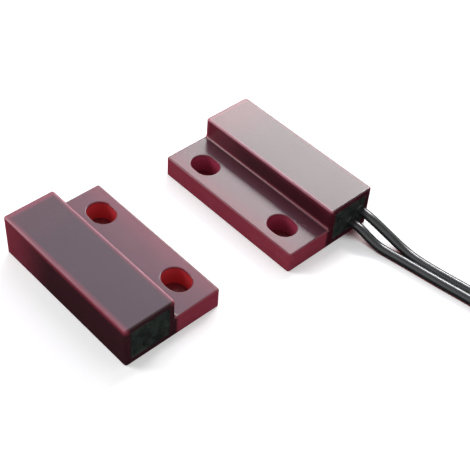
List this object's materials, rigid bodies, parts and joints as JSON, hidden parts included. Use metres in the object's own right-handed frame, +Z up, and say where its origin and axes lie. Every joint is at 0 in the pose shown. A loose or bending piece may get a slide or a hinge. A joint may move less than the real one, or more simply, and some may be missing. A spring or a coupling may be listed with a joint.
{
  "type": "magnetic door contact",
  "caption": "Surface-mount magnetic door contact: potted reed sensor with two leads in a slotted flange housing, and its matching magnet unit.",
  "frame": {"origin": "on the mounting plane, midway between the sensor's two screw slots", "axes": "+X along both units towards the wire end, +Y across them away from the magnet unit, +Z up off the mounting plane"},
  "size_m": [0.0673, 0.0605, 0.0059],
  "materials": {
    "housing": "dark maroon moulding, slightly translucent, semi-gloss",
    "potting": "near-black epoxy with a green tinge",
    "glass": "pale green clear glass",
    "reed_metal": "plated nickel-iron",
    "solder": "bright tin solder",
    "copper": "bare stranded copper",
    "wire_jacket": "glossy black PVC",
    "tie": "black plastic-coated twist tie",
    "magnet": "ground cast magnet alloy, satin"
  },
  "bodies": {
    "sensor": {"sensor_housing": "housing", "sensor_potting": "potting", "reed_capsule": "glass", "reed_lead_far": "reed_metal", "reed_lead_near": "reed_metal", "solder_far": "solder", "solder_near": "solder", "conductor_a": "copper", "conductor_b": "copper", "wire_tail_a": "wire_jacket", "wire_tail_b": "wire_jacket", "lead_wire_a": "wire_jacket", "lead_wire_b": "wire_jacket", "lead_coil": "wire_jacket", "coil_tie": "tie", "tinned_end_a": "solder", "tinned_end_b": "solder"},
    "magnet_unit": {"magnet_housing": "housing", "rod_magnet": "magnet", "magnet_potting": "potting"},
    "reed_far": {"reed_blade_far": "reed_metal"},
    "reed_near": {"reed_blade_near": "reed_metal"}
  },
  "joints": [
    {"name": "magnet_slide", "type": "slide", "parent": "sensor", "child": "magnet_unit", "axis": [0, 1, 0], "range_m": [-0.03, 0.0095]},
    {"name": "reed_far_flex", "type": "hinge", "parent": "sensor", "child": "reed_far", "pos_m": [-0.00645, 0.00768, 0.0023], "axis": [0, 0, -1], "range_deg": [0, 0.74], "stiffness_Nm_per_rad": 0.05},
    {"name": "reed_near_flex", "type": "hinge", "parent": "sensor", "child": "reed_near", "pos_m": [0.00465, 0.00732, 0.0023], "axis": [0, 0, -1], "range_deg": [0, 0.74]}
  ],
  "couplings": [
    {"joint": "reed_near_flex", "follows": "reed_far_flex", "ratio": 1}
  ]
}
